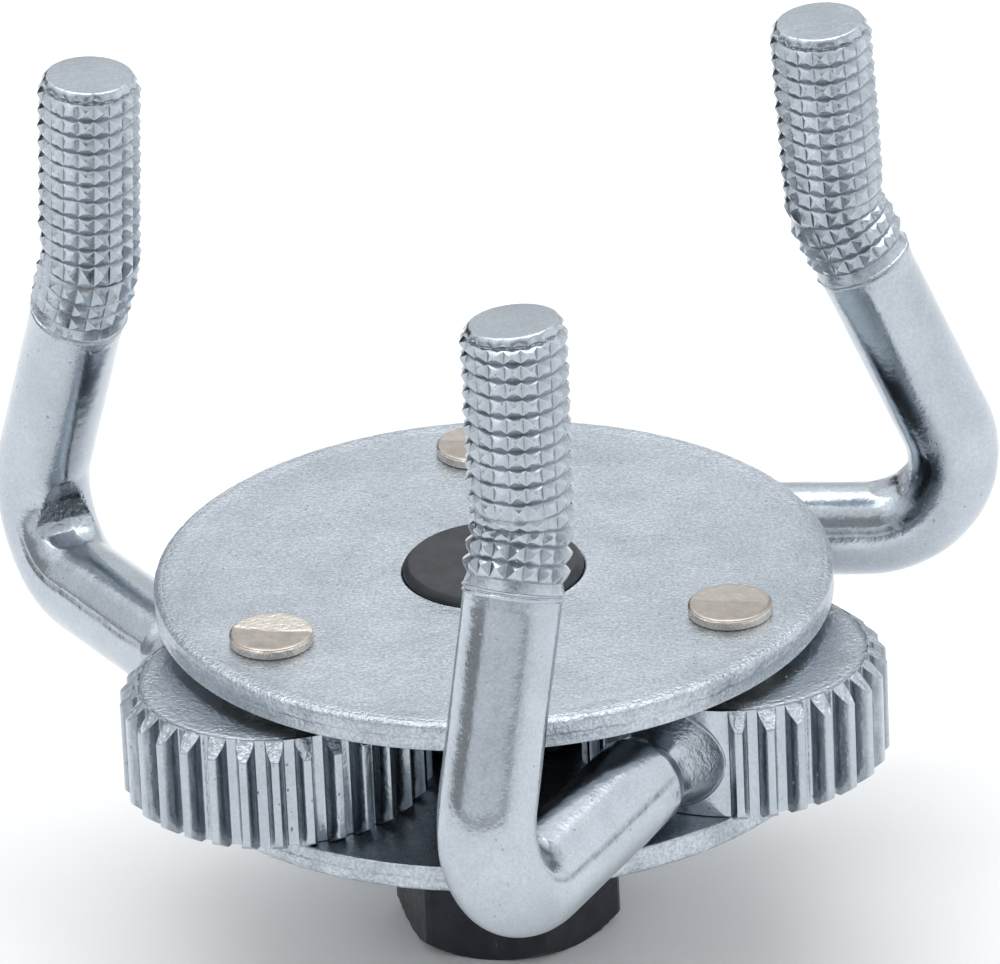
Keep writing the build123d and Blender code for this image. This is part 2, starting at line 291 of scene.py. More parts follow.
def plate_edge(build, r, depth, t, place):
    """One ring of a plate's outer edge, depth down from its rolled face."""
    points = []
    for k in range(PLATE_SEGMENTS):
        a = 2 * pi * k / PLATE_SEGMENTS
        x, y = polar(PLATE_R, a)
        shear = 0.0
        if 0.3 * t < depth < 0.93 * t:
            # Cut clean down to a wandering line, and torn back below it.
            line = 0.54 * t + 0.25 * bumps(x, y, 0, 3.0, 1.5) + 0.12 * bumps(x, y, 0, 0.9, 4.0)
            shear = -0.10 if depth > line else -0.012
            shear += 0.03 * bumps(x, y, depth * 3, 0.8, 7.0)
            shear = min(shear, 0.0)
        elif 0 < depth < 0.3 * t:
            shear = 0.12 * min(0.0, bumps(x, y, depth, 1.1, 2.0))
            shear += 0.09 * min(0.0, bumps(x, y, depth, 0.5, 2.0))
        points.append((*polar(r + shear, a), place(depth)))
    ring = build.ring(points)
    rough = 0.9 if 0.02 < depth < 0.3 * t else 0.45
    for n in ring:
        x, y, _ = build.points[n]
        stain = max(0.0, bumps(x, y, 0, 3.2, 6.0)) + max(0.0, bumps(x, y, depth, 0.9, 2.0))
        build.mark(n, rough, 0.28 * min(1.0, stain) if depth > 0.02 else 0.0)
    return ring


def plate(name, low, high, hole_r, rolled_up):
    """A stamped side plate: rolled outer edge one way, a sheared edge the other, and four holes."""
    t = high - low
    sign = 1 if rolled_up else -1
    top = high if rolled_up else low
    build = Builder()

    def place(depth):
        return top - sign * depth

    def dish(x, y):
        shallow = min(1.0, (PLATE_R - 1 - sqrt(x * x + y * y)) / 4)
        return -0.018 * (1 + bumps(x, y, 0, 14.0, 3.0)) * sign * shallow

    # From the rolled face's edge, over the roll, down the sheared wall to the plain face.
    roll_in, roll_down = PLATE_ROLL
    profile = [(PLATE_R - roll_in - 0.3, 0.0)]
    profile += [(PLATE_R - roll_in + roll_in * sin(radians(a)), roll_down * (1 - cos(radians(a))))
                for a in range(0, 85, 14)]
    profile += [(PLATE_R, share * t) for share in (0.36, 0.46, 0.52, 0.56, 0.62, 0.74, 0.86)]
    profile += [(PLATE_R - 0.03, t - 0.12), (PLATE_R - 0.15, t - 0.02), (PLATE_R - 0.3, t)]
    rings = [plate_edge(build, r, depth, t, place) for r, depth in profile]
    for a, b in zip(rings, rings[1:]):
        build.bridge(a, b, flip=rolled_up)

    edge = 0.22
    bore = [(edge + 0.1, 0.0), (edge, 0.0), (0.06, 0.08), (0.0, edge + 0.05), (0.0, 0.5 * t), (0.0, t - edge),
            (0.05, t - 0.06), (0.15, t), (0.25, t)]
    rivet_hole = [(0.02, 0.0), (0.0, 0.02), (0.0, t - 0.02), (0.02, t)]
    holes_top = []
    holes_bottom = []
    for cx, cy, radius, count, levels in ([(0.0, 0.0, hole_r, 144, bore)]
                                          + [(p.x, p.y, RIVET_TENON_R, 40, rivet_hole) for p in PIVOTS]):
        loops = []
        for wider, depth in levels:
            circle = [polar(radius + wider, 2 * pi * k / count) for k in range(count)]
            loops.append(build.ring([(cx + x, cy + y, place(depth)) for x, y in circle]))
        for a, b in zip(loops, loops[1:]):
            build.bridge(a, b, flip=not rolled_up)
        holes_top.append(loops[0])
        holes_bottom.append(loops[-1])

    fill_flat(build, rings[0], holes_top, top, 1.15, flip=not rolled_up, dish=dish)
    fill_flat(build, rings[-1], holes_bottom, place(t), 2.4, flip=rolled_up, dish=lambda x, y: 0.0)
    return make_object(name, build)


def rivet(name, pivot, seed, struck):
    """A shouldered rivet: turned shoulder, two tenons and two upset heads."""
    high, low = RIVET_HIGH.z, RIVET_LOW.z
    edge = RIVET_EDGE_R

    def head(face, end):
        """From the plate's face at the tenon out round the head to its flat end."""
        step = 1 if end > face else -1
        side = [(RIVET_TENON_R, face), (RIVET_HEAD_R - 0.12, face), (RIVET_HEAD_R, face + 0.12 * step),
                (RIVET_HEAD_R + 0.02, (face + end) / 2)]
        corner = [(RIVET_HEAD_R - edge + edge * cos(radians(a)), end - step * edge * (1 - sin(radians(a))))
                  for a in (0, 30, 60, 90)]
        flat = [(r, end - step * 0.02 * (1 - (r / RIVET_HEAD_R) ** 2)) for r in (3.7, 3.0, 2.0, 1.0)]
        return side + corner + flat

    low_head = head(BASE_LOW.z, low)
    top_head = head(PLATE_HIGH.z, high)
    waist = [(RIVET_TENON_R, BASE_HIGH.z - 0.02), (SHOULDER_R - 0.15, BASE_HIGH.z + 0.005),
             (SHOULDER_R, BASE_HIGH.z + 0.15), (SHOULDER_R, (BASE_HIGH.z + PLATE_LOW.z) / 2),
             (SHOULDER_R, PLATE_LOW.z - 0.15), (SHOULDER_R - 0.15, PLATE_LOW.z - 0.005),
             (RIVET_TENON_R, PLATE_LOW.z + 0.02)]
    profile = [(0, low)] + low_head[::-1] + waist + top_head + [(0, high - 0.02)]

    def finish(x, y, z):
        """Struck rough on the far half of the head and down its side."""
        if z < high - 0.2:
            return 0.9
        return struck * smooth_step((y + 0.25 * x - 0.2 + 0.5 * bumps(x, y, seed, 1.5)) / 0.5)

    return turned(name, profile, (pivot.x, pivot.y), RIVET_SEGMENTS, 0.03, seed, finish)


# ------------------------------------------------------------------ gears
def involute(radius, base_r):
    pressure = acos(min(1.0, base_r / radius))
    return tan(pressure) - pressure


def tooth_columns(teeth):
    """Half a tooth and half the gap after it: (angle from the tooth's centre, radius), radians."""
    pitch_r = teeth / 2
    base_r = pitch_r * cos(PRESSURE_ANGLE)
    root_r = pitch_r - DEDENDUM
    tip_r = pitch_r + ADDENDUM
    half = (pi / 2 - TOOTH_THINNING) / 2 / pitch_r + involute(pitch_r, base_r)
    foot = max(root_r + 0.1, base_r)
    radii = [foot + (tip_r - 0.06 - foot) * k / 6 for k in range(7)]
    flank = [(half - involute(r, base_r), r) for r in radii]
    tip_angle = flank[-1][0]
    columns = [(0.0, tip_r), (0.5 * tip_angle, tip_r), (tip_angle - 0.16 / tip_r, tip_r),
               (tip_angle - 0.05 / tip_r, tip_r - 0.012)]
    columns += flank[::-1]
    foot_angle = flank[0][0]
    if foot > root_r + 0.3:
        columns.append((foot_angle + 0.02 / root_r, root_r + 0.22))
    columns += [(foot_angle + 0.07 / root_r, root_r + 0.05), (foot_angle + 0.2 / root_r, root_r)]
    columns.append((0.5 * (columns[-1][0] + pi / teeth), root_r))
    return columns, pi / teeth, root_r


def gear_outline(teeth, first, clear=0.0):
    """All round a gear, anticlockwise: (angle, radius) columns.

    Teeth within clear degrees of 0 are left out.
    """
    half, mid_gap, root_r = tooth_columns(teeth)
    columns = []
    for k in range(teeth):
        centre = radians(first + 360 / teeth * k)
        away = abs((first + 360 / teeth * k + 180) % 360 - 180)
        if away < clear:
            steps = 8
            for i in range(-steps, steps):
                columns.append((centre + mid_gap * i / steps, root_r))
            continue
        columns.append((centre - mid_gap, root_r))
        columns += [(centre - a, r) for a, r in half[:0:-1]]
        columns += [(centre + a, r) for a, r in half]
    return sorted(columns, key=lambda c: c[0])


def gear_rings(build, columns, teeth, low, high, foot_bevel, top_bevel, burr):
    """The toothed wall of a gear, bottom edge to top edge, as rings of point numbers."""
    tip_r = teeth / 2 + ADDENDUM
    foot_r, foot_z = tip_r - foot_bevel[0], foot_bevel[1] / foot_bevel[0]
    top_r, top_z = tip_r - top_bevel[0], top_bevel[1] / top_bevel[0]
    levels = [("foot", share) for share in (0.0, 0.5, 0.96)]
    levels += [("wall", share) for share in (0.0, 0.02, 0.25, 0.5, 0.75, 0.98, 1.0)]
    levels += [("top", share) for share in (0.06, 0.25, 0.5, 0.75, 0.95, 1.0)]
    rings = []
    for kind, share in levels:
        points = []
        for angle, r in columns:
            low_r, high_r = min(r, foot_r), min(r, top_r)
            low_z = low + max(0.0, r - foot_r) * foot_z
            high_z = high - max(0.0, r - top_r) * top_z
            if kind == "foot":
                z = low + (low_z - low) * share
                radius = low_r + (r - low_r) * share
            elif kind == "wall":
                z = low_z + (high_z - low_z) * share
                radius = r
            else:
                z = high_z + (high - high_z) * share
                radius = r + (high_r - r) * share
            if burr and r > tip_r - 0.1:
                x, y = polar(r, angle)
                radius += min(0.0, 0.05 * bumps(x, y, 0.25 * z, 0.8, 6.0))
            x, y = polar(radius, angle)
            if burr and kind == "top" and 0.1 < share < 0.97 and r > top_r + 0.3:
                lump = burr * (bumps(x, y, 0, 0.8, 3.0) + 0.5 * bumps(x, y, z, 0.3, 8.0) - 0.3)
                z += lump
                x, y = polar(radius + 0.6 * lump, angle)
            points.append((x, y, z))
        ring = build.ring(points)
        for n, (_, r) in zip(ring, columns):
            if not burr:
                continue
            # The top bevels are marked rough. The tips are darkened a little and the flanks much more, as
            # painted shade.
            if kind == "top" and r > top_r + 0.2:
                build.mark(n, 1.0, 0.0)
            elif r > tip_r - 0.1:
                build.mark(n, 0.2, 0.05)
            else:
                build.mark(n, 0.1, 0.5 if r > tip_r - ADDENDUM - DEDENDUM + 0.1 else 0.05)
        rings.append(ring)
    return rings


# ------------------------------------------------------------------ drive spindle
def polygon_radius(angle, sides, flat_r, corner_r):
    """Radius of a polygon with its corners turned down, and the angle from the middle of the side."""
    off = (angle + pi / sides) % (2 * pi / sides) - pi / sides
    return min(flat_r / cos(off), corner_r), off


def spindle_columns():
    """Column angles that suit the pinion's teeth and the hex's corners alike."""
    offset = (FIRST_TOOTH + ARM_REST - 180) % (360 / GEAR_TEETH)
    first = 90 - offset * GEAR_TEETH / PINION_TEETH + 180 / PINION_TEETH
    return gear_outline(PINION_TEETH, first)


def spindle(name):
    """Socket, hex, lower journal, pinion and upper journal as one closed skin of rings."""
    columns = spindle_columns()
    build = Builder()
    rings = []

    def circles(*levels):
        for r, z in levels:
            rings.append(build.ring([(*polar(r, a), z) for a, _ in columns]))

    def square(half, z):
        radius, depth, height = DETENT
        points = []
        for a, _ in columns:
            r, off = polygon_radius(a - HEX_TURN, 4, half, half * SQUARE_CORNER)
            away = sqrt((r * sin(off)) ** 2 + (z - height) ** 2) / radius
            if away < 1:
                r += depth * sqrt(1 - away ** 2)
            points.append((*polar(r, a), z))
        rings.append(build.ring(points))

    def hexagon(shrink, z, up_chamfer=0.0):
        """A ring of the hex. Its end chamfer runs from 0, at the end face, to 1, at the full hex."""
        points = []
        for a, _ in columns:
            full, _ = polygon_radius(a - HEX_TURN, 6, HEX_R, HEX_CORNER_R)
            r = min(full, HEX_R + HEX_END_CHAMFER[0] * up_chamfer) - shrink
            x, y = polar(r, a)
            dent = 0.02 * bumps(x, y, z, 2.2, 11.0) - 0.03 * max(0.0, bumps(x, y, z, 0.9, 4.0) - 0.35)
            points.append((*polar(r + dent, a), z))
        rings.append(build.ring(points))

    floor = build.point((0, 0, SQUARE_DEPTH))
    for share in (0.35, 0.7, 0.97):
        square(SQUARE_HALF * share, SQUARE_DEPTH)
    for z in (13.9, 10.5, 8.0, 7.2, 6.8, 6.4, 6.0, 5.5, 5.0, 4.6, 4.2, 3.8, 3.0, SQUARE_LEAD_IN + 0.05):
        square(SQUARE_HALF, z)
    square(SQUARE_HALF + 0.05, SQUARE_LEAD_IN - 0.05)
    square(SQUARE_HALF + SQUARE_LEAD_IN - 0.04, 0.04)
    square(SQUARE_HALF + SQUARE_LEAD_IN + 0.05, 0.0)
    circles((8.2, 0.0), (9.2, 0.0), (10.1, 0.0))
    hexagon(0.12, 0.0)
    hexagon(0.02, 0.05)
    for share in (0.25, 0.5, 0.75, 0.95):
        hexagon(0.0, HEX_END_CHAMFER[1] * share, share)
    for z in (1.2, 1.4, 2.2, 3.2, 4.4, 5.6, 6.8, 8.2, 9.6, 11.0, 12.4, 13.8, 15.2, 16.6, 18.0, 19.4, 20.45):
        hexagon(0.0, z, 1.0)
    hexagon(0.06, HEX_HEIGHT - 0.06, 1.0)
    hexagon(0.25, HEX_HEIGHT, 1.0)
    lower, upper, top, cut = LOWER_JOURNAL_R, UPPER_JOURNAL_R, SPINDLE_TOP, JOURNAL_CHAMFER
    circles((lower - 1.9, HEX_HEIGHT), (lower - 1.8, HEX_HEIGHT + 0.03), (lower, HEX_HEIGHT + 0.06),
            (lower, 21.0), (lower, 22.5), (lower, 24.0), (lower, GEAR_BOTTOM - 0.03),
            (lower - 1.4, GEAR_BOTTOM - 0.01))
    rings += gear_rings(build, columns, PINION_TEETH, GEAR_BOTTOM, GEAR_TOP, PINION_BEVEL, PINION_BEVEL, 0.0)
    circles((10.6, GEAR_TOP), (upper + 0.1, GEAR_TOP), (upper, GEAR_TOP + 0.1), (upper, 37.5), (upper, 39.0),
            (upper, 40.0), (upper, top - cut - 0.05), (upper - 0.05, top - cut + 0.05),
            (upper - cut + 0.05, top - 0.05), (upper - cut - 0.08, top),
            *((r, top) for r in (8.0, 6.5, 4.5, 2.5, 1.0)))
    crown = build.point((0, 0, top))
    for a, b in zip(rings, rings[1:]):
        build.bridge(a, b)
    build.fan(rings[0], floor, flip=True)
    build.fan(rings[-1], crown)
    return make_object(name, build)


# ------------------------------------------------------------------ claw arm
def smooth_step(x):
    x = min(1.0, max(0.0, x))
    return x * x * (3 - 2 * x)


class ArmAxis:
    """The rod's axis: straight runs joined by tangent arcs, walked by length from the pivot's side."""

    def __init__(self, points, radii):
        self.corners = [Vector(p) for p in points]
        self.parts = []
        start = self.corners[0]
        for i, radius in enumerate(radii, start=1):
            before = (self.corners[i] - self.corners[i - 1]).normalized()
            after = (self.corners[i + 1] - self.corners[i]).normalized()
            turn = before.angle(after)
            reach = radius * tan(turn / 2)
            entry = self.corners[i] - before * reach
            axis = before.cross(after).normalized()
            centre = entry + axis.cross(before) * radius
            self.parts.append(("run", start, before, (entry - start).length))
            self.parts.append(("arc", centre, axis, radius, turn, entry, before))
            start = self.corners[i] + after * reach
        last = (self.corners[-1] - self.corners[-2]).normalized()
        self.parts.append(("run", start, last, (self.corners[-1] - start).length))
        self.lengths = [p[3] if p[0] == "run" else p[3] * p[4] for p in self.parts]
        self.length = sum(self.lengths)

    def at(self, s):
        """Place, direction and the two section axes (inward at the bend, sideways) at length s."""
        inward = Vector((0, 0, 1))
        for part, length in zip(self.parts, self.lengths):
            if part[0] == "run":
                along = part[2]
                if s <= length or part is self.parts[-1]:
                    place = part[1] + along * s
                    break
            else:
                _, centre, axis, _, turn, entry, before = part
                share = min(1.0, s / length)
                spin = Matrix.Rotation(turn * share, 3, axis)
                along = spin @ before
                if s <= length:
                    place = centre + spin @ (entry - centre)
                    inward = spin @ self.square(inward, before)
                    break
                inward = spin @ self.square(inward, before)
            s -= length
        inward = self.square(inward, along)
        return place, along, inward, inward.cross(along)

    @staticmethod
    def square(v, along):
        return (v - along * v.dot(along)).normalized()


def die_mark(along, across, facet_width):
    """Depth, roughness and darkening of the die's mark, by the distances along and across from the crease."""
    length, end_depth = LOWER_FACET if along < 0 else UPPER_FACET
    u = abs(along) / length
    if u >= 1:
        return 0.0, 0.0, 0.0
    depth = end_depth + (CREASE_DEPTH - end_depth) * (1 - u) ** 2
    if along < 0:
        half_width = CREASE_HALF_WIDTH * sqrt(1 - u * u)
    else:
        half_width = CREASE_HALF_WIDTH * (1 - (1 - facet_width) * u)
        depth *= min(1.0, (1 - u) / 0.15)
    edge = 1 - (across / half_width) ** 2
    if edge <= 0:
        return 0.0, 0.0, 0.0
    if along < 0:
        ragged = 1 - smooth_step((abs(along) - 1.2) / 1.6)
        return depth * edge + 0.07 * ragged * bumps(along * 0.5, across, 0, 0.4, 2.0), ragged, 0.05
    ragged = 1 - smooth_step((along - 2.4) / 2.4)
    depth = depth * edge + 0.05 * ragged * bumps(along * 0.5, across, 0, 0.45, 6.0)
    # On the upper facet, the darkening toward the crease and at its sides is painted shade. The ragged band
    # by the crease is also rough.
    return depth, 0.25 + 0.6 * ragged, (0.3 + 0.25 * ragged) * (1 - u) + 0.3 * (1 - edge) ** 3


def neck_arc():
    """Circle through the neck's three profile points: its centre (r, x) and its radius."""
    (r0, x0), (r1, x1), (r2, x2) = NECK_PROFILE
    a = np.array([[2 * (r1 - r0), 2 * (x1 - x0)], [2 * (r2 - r0), 2 * (x2 - x0)]])
    b = np.array([r1 ** 2 - r0 ** 2 + x1 ** 2 - x0 ** 2, r2 ** 2 - r0 ** 2 + x2 ** 2 - x0 ** 2])
    cr, cx = np.linalg.solve(a, b)
    return cr, cx, sqrt((r0 - cr) ** 2 + (x0 - cx) ** 2)


NECK_ARC = neck_arc()


def neck_radius(x):
    """Rod radius near the gear, at distance x from the pivot."""
    (r0, x0), _, (r2, x2) = NECK_PROFILE
    if x <= x0:
        return r0
    if x <= x2:
        cr, cx, radius = NECK_ARC
        return cr - sqrt(max(0.0, radius ** 2 - (x - cx) ** 2))
    return r2 + (ROD_R - r2) * smooth_step((x - x2) / (NECK_SHOULDER - x2))


def row_lobe(t):
    """Height of one knurl bead along the rod at distance t from its peak, from 0 to 0.5 on either side."""
    return 1 - abs(2 * t) ** ROW_POWER


def column_lobe(t):
    """Height of one knurl bead round the rod: a straighter slope down to a shallower valley."""
    return 1 - COLUMN_VALLEY * abs(2 * t) ** COLUMN_POWER


def row_steps():
    """Ring places in one row: the valley, a ring on its wall, and where each column meets the crest line."""
    crests = [0.5 - 0.5 * (COLUMN_VALLEY * abs(2 * (c - 0.5)) ** COLUMN_POWER) ** (1 / ROW_POWER)
              for c in BEAD_STEPS[:5]]
    lower = [0.0, 0.5 * crests[0]] + crests
    return lower + [1 - r for r in lower[-2:0:-1]]


ROW_STEPS = row_steps()


def row_place(step):
    """How far up its row a ring lies: the peak is above the middle."""
    return 2 * KNURL_APEX * step if step <= 0.5 else 1 - 2 * (1 - KNURL_APEX) * (1 - step)


def knurl_start(axis):
    """Length along the axis where the knurl's lowest row starts."""
    return axis.length - (KNURL_BELOW_KINK + (axis.corners[3] - axis.corners[2]).length)


def rod_rings(axis):
    """Lengths along the axis at which the rod has a ring, with the ring's kind and knurl row."""
    first_run, bend_arc = axis.lengths[:2]
    start_x = ROD_POINTS[0][0]
    low_end = knurl_start(axis)
    count, first, last_x = NECK_RINGS
    rings = [(first + (last_x - start_x) * k / count, "plain", 0.0) for k in range(count)]
    # Fine rings over the bend, with one exactly on the crease, and plain ones before and after it.
    middle = first_run + bend_arc / 2
    count, past = BEND_RINGS
    span = bend_arc / 2 + past
    s = last_x + 0.85 - start_x
    while s < first_run - past:
        rings.append((s, "plain", 0.0))
        s += RING_STEP
    rings += [(middle + span * k / count, "bend", 0.0) for k in range(-count, count + 1)]
    s = middle + span + 0.45
    while s < low_end - 1.2:
        rings.append((s, "plain", 0.0))
        s += RING_STEP
    rings += [(low_end + step, "collar", step) for step in COLLAR]
    top = axis.length - KNURL_TOP_ROW
    rows = int((top - low_end - 0.3) / KNURL_PITCH)
    for row in range(-rows, 1):
        for step in ROW_STEPS:
            s = top + (row + row_place(step)) * KNURL_PITCH
            if s < axis.length - TIP_PROFILE[0][0] - 0.04:
                rings.append((s, "knurl", row + step))
    return rings


def neck_foot(build, axis, angles):
    """Rings from where the neck's flare meets the gear's root cylinder, up a small fillet."""
    start, along, inward, side = axis.at(0.0)

    def wall_x(a, r):
        return sqrt(GEAR_ROOT_R ** 2 - (r * sin(a)) ** 2) - r * cos(a) * along.z

    def neck_point(a, r, x):
        return start + along * ((x - start.x) / along.x) + (inward * cos(a) + side * sin(a)) * r

    lines = []
    foot = []
    for a in angles:
        x = start.x
        for _ in range(30):
            x = 0.5 * (x + wall_x(a, neck_radius(x)))
        r = neck_radius(x)
        # There is less of the gear's wall above the neck and beside it than below it.
        fillet = NECK_FILLET * (1 - 0.6 * max(0.0, cos(a)) - 0.5 * sin(a) ** 2)
        lines.append((a, r, fillet))
        p = neck_point(a, r + fillet, wall_x(a, r + fillet))
        scale = GEAR_ROOT_R / sqrt(p.x ** 2 + p.y ** 2)
        foot.append((p.x * scale, p.y * scale, p.z))
    rings = [build.ring(foot)]
    for t in (0.985, 0.93, 0.82, 0.65, 0.4, 0.0):
        points = []
        for a, r, fillet in lines:
            r += fillet * (1 - sqrt(1 - t * t))
            points.append(tuple(neck_point(a, r, wall_x(a, r) + fillet * (1 - t))))
        rings.append(build.ring(points))
        for n in rings[-1]:
            build.mark(n, 0.8, 0.08)
    return rings


def smooth_point(axis, s, a, section, seed, facet_width):
    """A point of the neck, rod or bend at length s and section angle a, with its roughness, and its darkening
    by dirt and painted shade.
    """
    place, along, inward, side = section
    radial = inward * cos(a) + side * sin(a)
    first_run, bend_arc = axis.lengths[:2]
    on_neck = s < first_run
    x = ROD_POINTS[0][0] + s * along.x if on_neck else 99.0
    near_gear = x < 30
    base = neck_radius(x) if near_gear else ROD_R
    rough = dirt_and_shade = 0.0
    p = place + radial * base
    if x > 19:
        level = DENT * bumps(p.x, p.y, p.z, 5.0, seed) + 0.4 * DENT * bumps(p.x, p.y, p.z, 1.8, seed + 4)
        base += min(level, 0.02)
    # The die's parting line, along both sides of the lower rod and into the bend.
    fade = smooth_step((x - 19.5) / 3) if near_gear else 1.0
    fade *= 1 - smooth_step((s - first_run - 0.25 * bend_arc) / (0.4 * bend_arc))
    if fade > 0:
        wander = 0.05 * bumps(s, 0, 0, 4.0, seed + (a > pi))
        off = (abs(a - pi) - SEAM_TURN - wander) * ROD_R
        seam = fade * np.exp(-(off / SEAM_WIDTH) ** 2)
        seam *= 0.75 + 0.5 * bumps(p.x, p.y, p.z, 0.9, 3.0)
        base -= SEAM_DEPTH * seam
        dirt_and_shade = seam
    if x < 18.8:
        # Fine turning marks, roughest at the gear.
        base += 0.003 * sin(2 * pi * x / 0.42)
        rough = 0.8 * (1 - smooth_step((x - 15.5) / 3))
    p = place + radial * base
    crease_s = first_run + bend_arc / 2
    if cos(a) > 0 and abs(s - crease_s) < CREASE_REACH:
        along_s = s - crease_s + 0.3 * bumps(sin(a) * 4, 0, 0, 0.9, 5.0)
        cut, rough, grime_and_shade = die_mark(along_s, base * sin(a), facet_width)
        p -= inward * cut
        # The seam's dark line is its own colour. The die mark adds painted shade.
        dirt_and_shade = max(dirt_and_shade, grime_and_shade)
    return p, rough, dirt_and_shade


def knurl_point(axis, s, row, a, step, section, seed):
    """A point of the knurl, step across its column, with its roughness and its painted shade."""
    place, along, inward, side = section
    radial = inward * cos(a) + side * sin(a)
    p = place + radial * ROD_R
    up, round_it = row_lobe(row % 1 - 0.5), column_lobe(step - 0.5)
    height = min(up, round_it)
    # Worn all over, and most on the inside of the kink.
    kink_s = axis.length - (axis.corners[3] - axis.corners[2]).length
    wear = 1 - 0.3 * max(0.0, bumps(p.x, p.y, p.z, 2.4, 9.0))
    wear -= 0.45 * smooth_step(1.6 - abs(s - kink_s - 1.0) / 1.8) * smooth_step(2 * radial.x)
    shift = 0.07 * bumps(p.x, p.y, p.z, 2.1, seed + 12)
    p = place + along * shift + radial * (KNURL_R - KNURL_DEPTH + KNURL_DEPTH * height * wear)
    # Painted shade: darker down into the valleys, and darker on the side facets between columns.
    dirt_and_shade = 0.3 * (1 - height) ** 3 + (0.16 if round_it < up else 0.0)
    return p, 0.0, dirt_and_shade


def collar_point(a, height, section):
    """A point of the raised edge below the knurl."""
    place, _, inward, side = section
    radial = inward * cos(a) + side * sin(a)
    p = place + radial * ROD_R
    return place + radial * (ROD_R + height * (1 + 0.5 * bumps(p.x, p.y, p.z, 1.2, 8.0)))


def tip_ring(build, axis, columns, drop, radius, nicked):
    """One ring of the claw's flat end, with the knurl's valleys nicking its turned-down edge."""
    place, _, inward, side = axis.at(axis.length - drop)
    points = []
    for a, step in columns:
        nick = 0.06 * nicked * bumps(cos(a) * 4, sin(a) * 4, drop, 0.7, 5.0)
        uneven = 0.75 + 0.6 * bumps(cos(a) * 3, sin(a) * 3, 0, 1.1, 2.0)
        nick -= 0.55 * nicked * (1 - column_lobe(step - 0.5)) * uneven
        radial = inward * cos(a) + side * sin(a)
        points.append(tuple(place + radial * (radius + nick)))
    ring = build.ring(points)
    for n in ring:
        build.mark(n, 0.35 * nicked, 0.2 * nicked)
    return ring


def round_step(row):
    """Which of the bead's steps a ring at this row lies on."""
    share = row % 1
    return min(range(len(ROW_STEPS)), key=lambda k: abs(ROW_STEPS[k] - share))


def skin_faces(a, b, knurled, row):
    """Faces between two of an arm's rings. In the knurl, quads on a bead's edges are split along them."""
    count = len(BEAD_STEPS)
    cell_row = round_step(row)
    faces = []
    for i in range(len(a)):
        j = (i + 1) % len(a)
        quad = (a[i], b[i], b[j], a[j])
        cell_column = i % count
        if knurled and cell_row == cell_column + 2:
            faces += [quad[:3], (quad[0], *quad[2:])]
        elif knurled and cell_row == count + 1 - cell_column:
            faces += [(*quad[:2], quad[3]), quad[1:]]
        else:
            faces.append(quad)
    return faces


def claw_arm_skin(seed, facet_width):
    """One claw arm about its own pivot, pointing along +X: points and faces of one closed skin."""
    axis = ArmAxis(ROD_POINTS, (BEND_R, KINK_R))
    build = Builder()
    # Section angles, each with its place across one knurl column.
    columns = [((column + step) * 2 * pi / KNURL_COLUMNS, step)
               for column in range(KNURL_COLUMNS) for step in BEAD_STEPS]
    rings = [(ring, "plain", 0.0) for ring in neck_foot(build, axis, [a for a, _ in columns])]
    for s, kind, row in rod_rings(axis):
        section = axis.at(s)
        points = []
        marks = []
        for a, step in columns:
            if kind == "knurl":
                p, rough, dirt_and_shade = knurl_point(axis, s, row, a, step, section, seed)
            elif kind == "collar":
                p, rough, dirt_and_shade = collar_point(a, COLLAR[row], section), 0.3, 0.0
            else:
                p, rough, dirt_and_shade = smooth_point(axis, s, a, section, seed, facet_width)
            points.append(tuple(p))
            marks.append((rough, dirt_and_shade))
        ring = build.ring(points)
        for n, (rough, dirt_and_shade) in zip(ring, marks):
            build.mark(n, rough, dirt_and_shade)
        rings.append((ring, kind, row))
    rings += [(tip_ring(build, axis, columns, *level), "tip", 0.0) for level in TIP_PROFILE]

    for (a, _, row), (b, kind, _) in zip(rings, rings[1:]):
        build.faces += skin_faces(a, b, kind == "knurl", row)
    build.fan(rings[-1][0][::-1], build.point(tuple(axis.at(axis.length)[0])))
    gear_skin(build, rings[0][0])
    return build


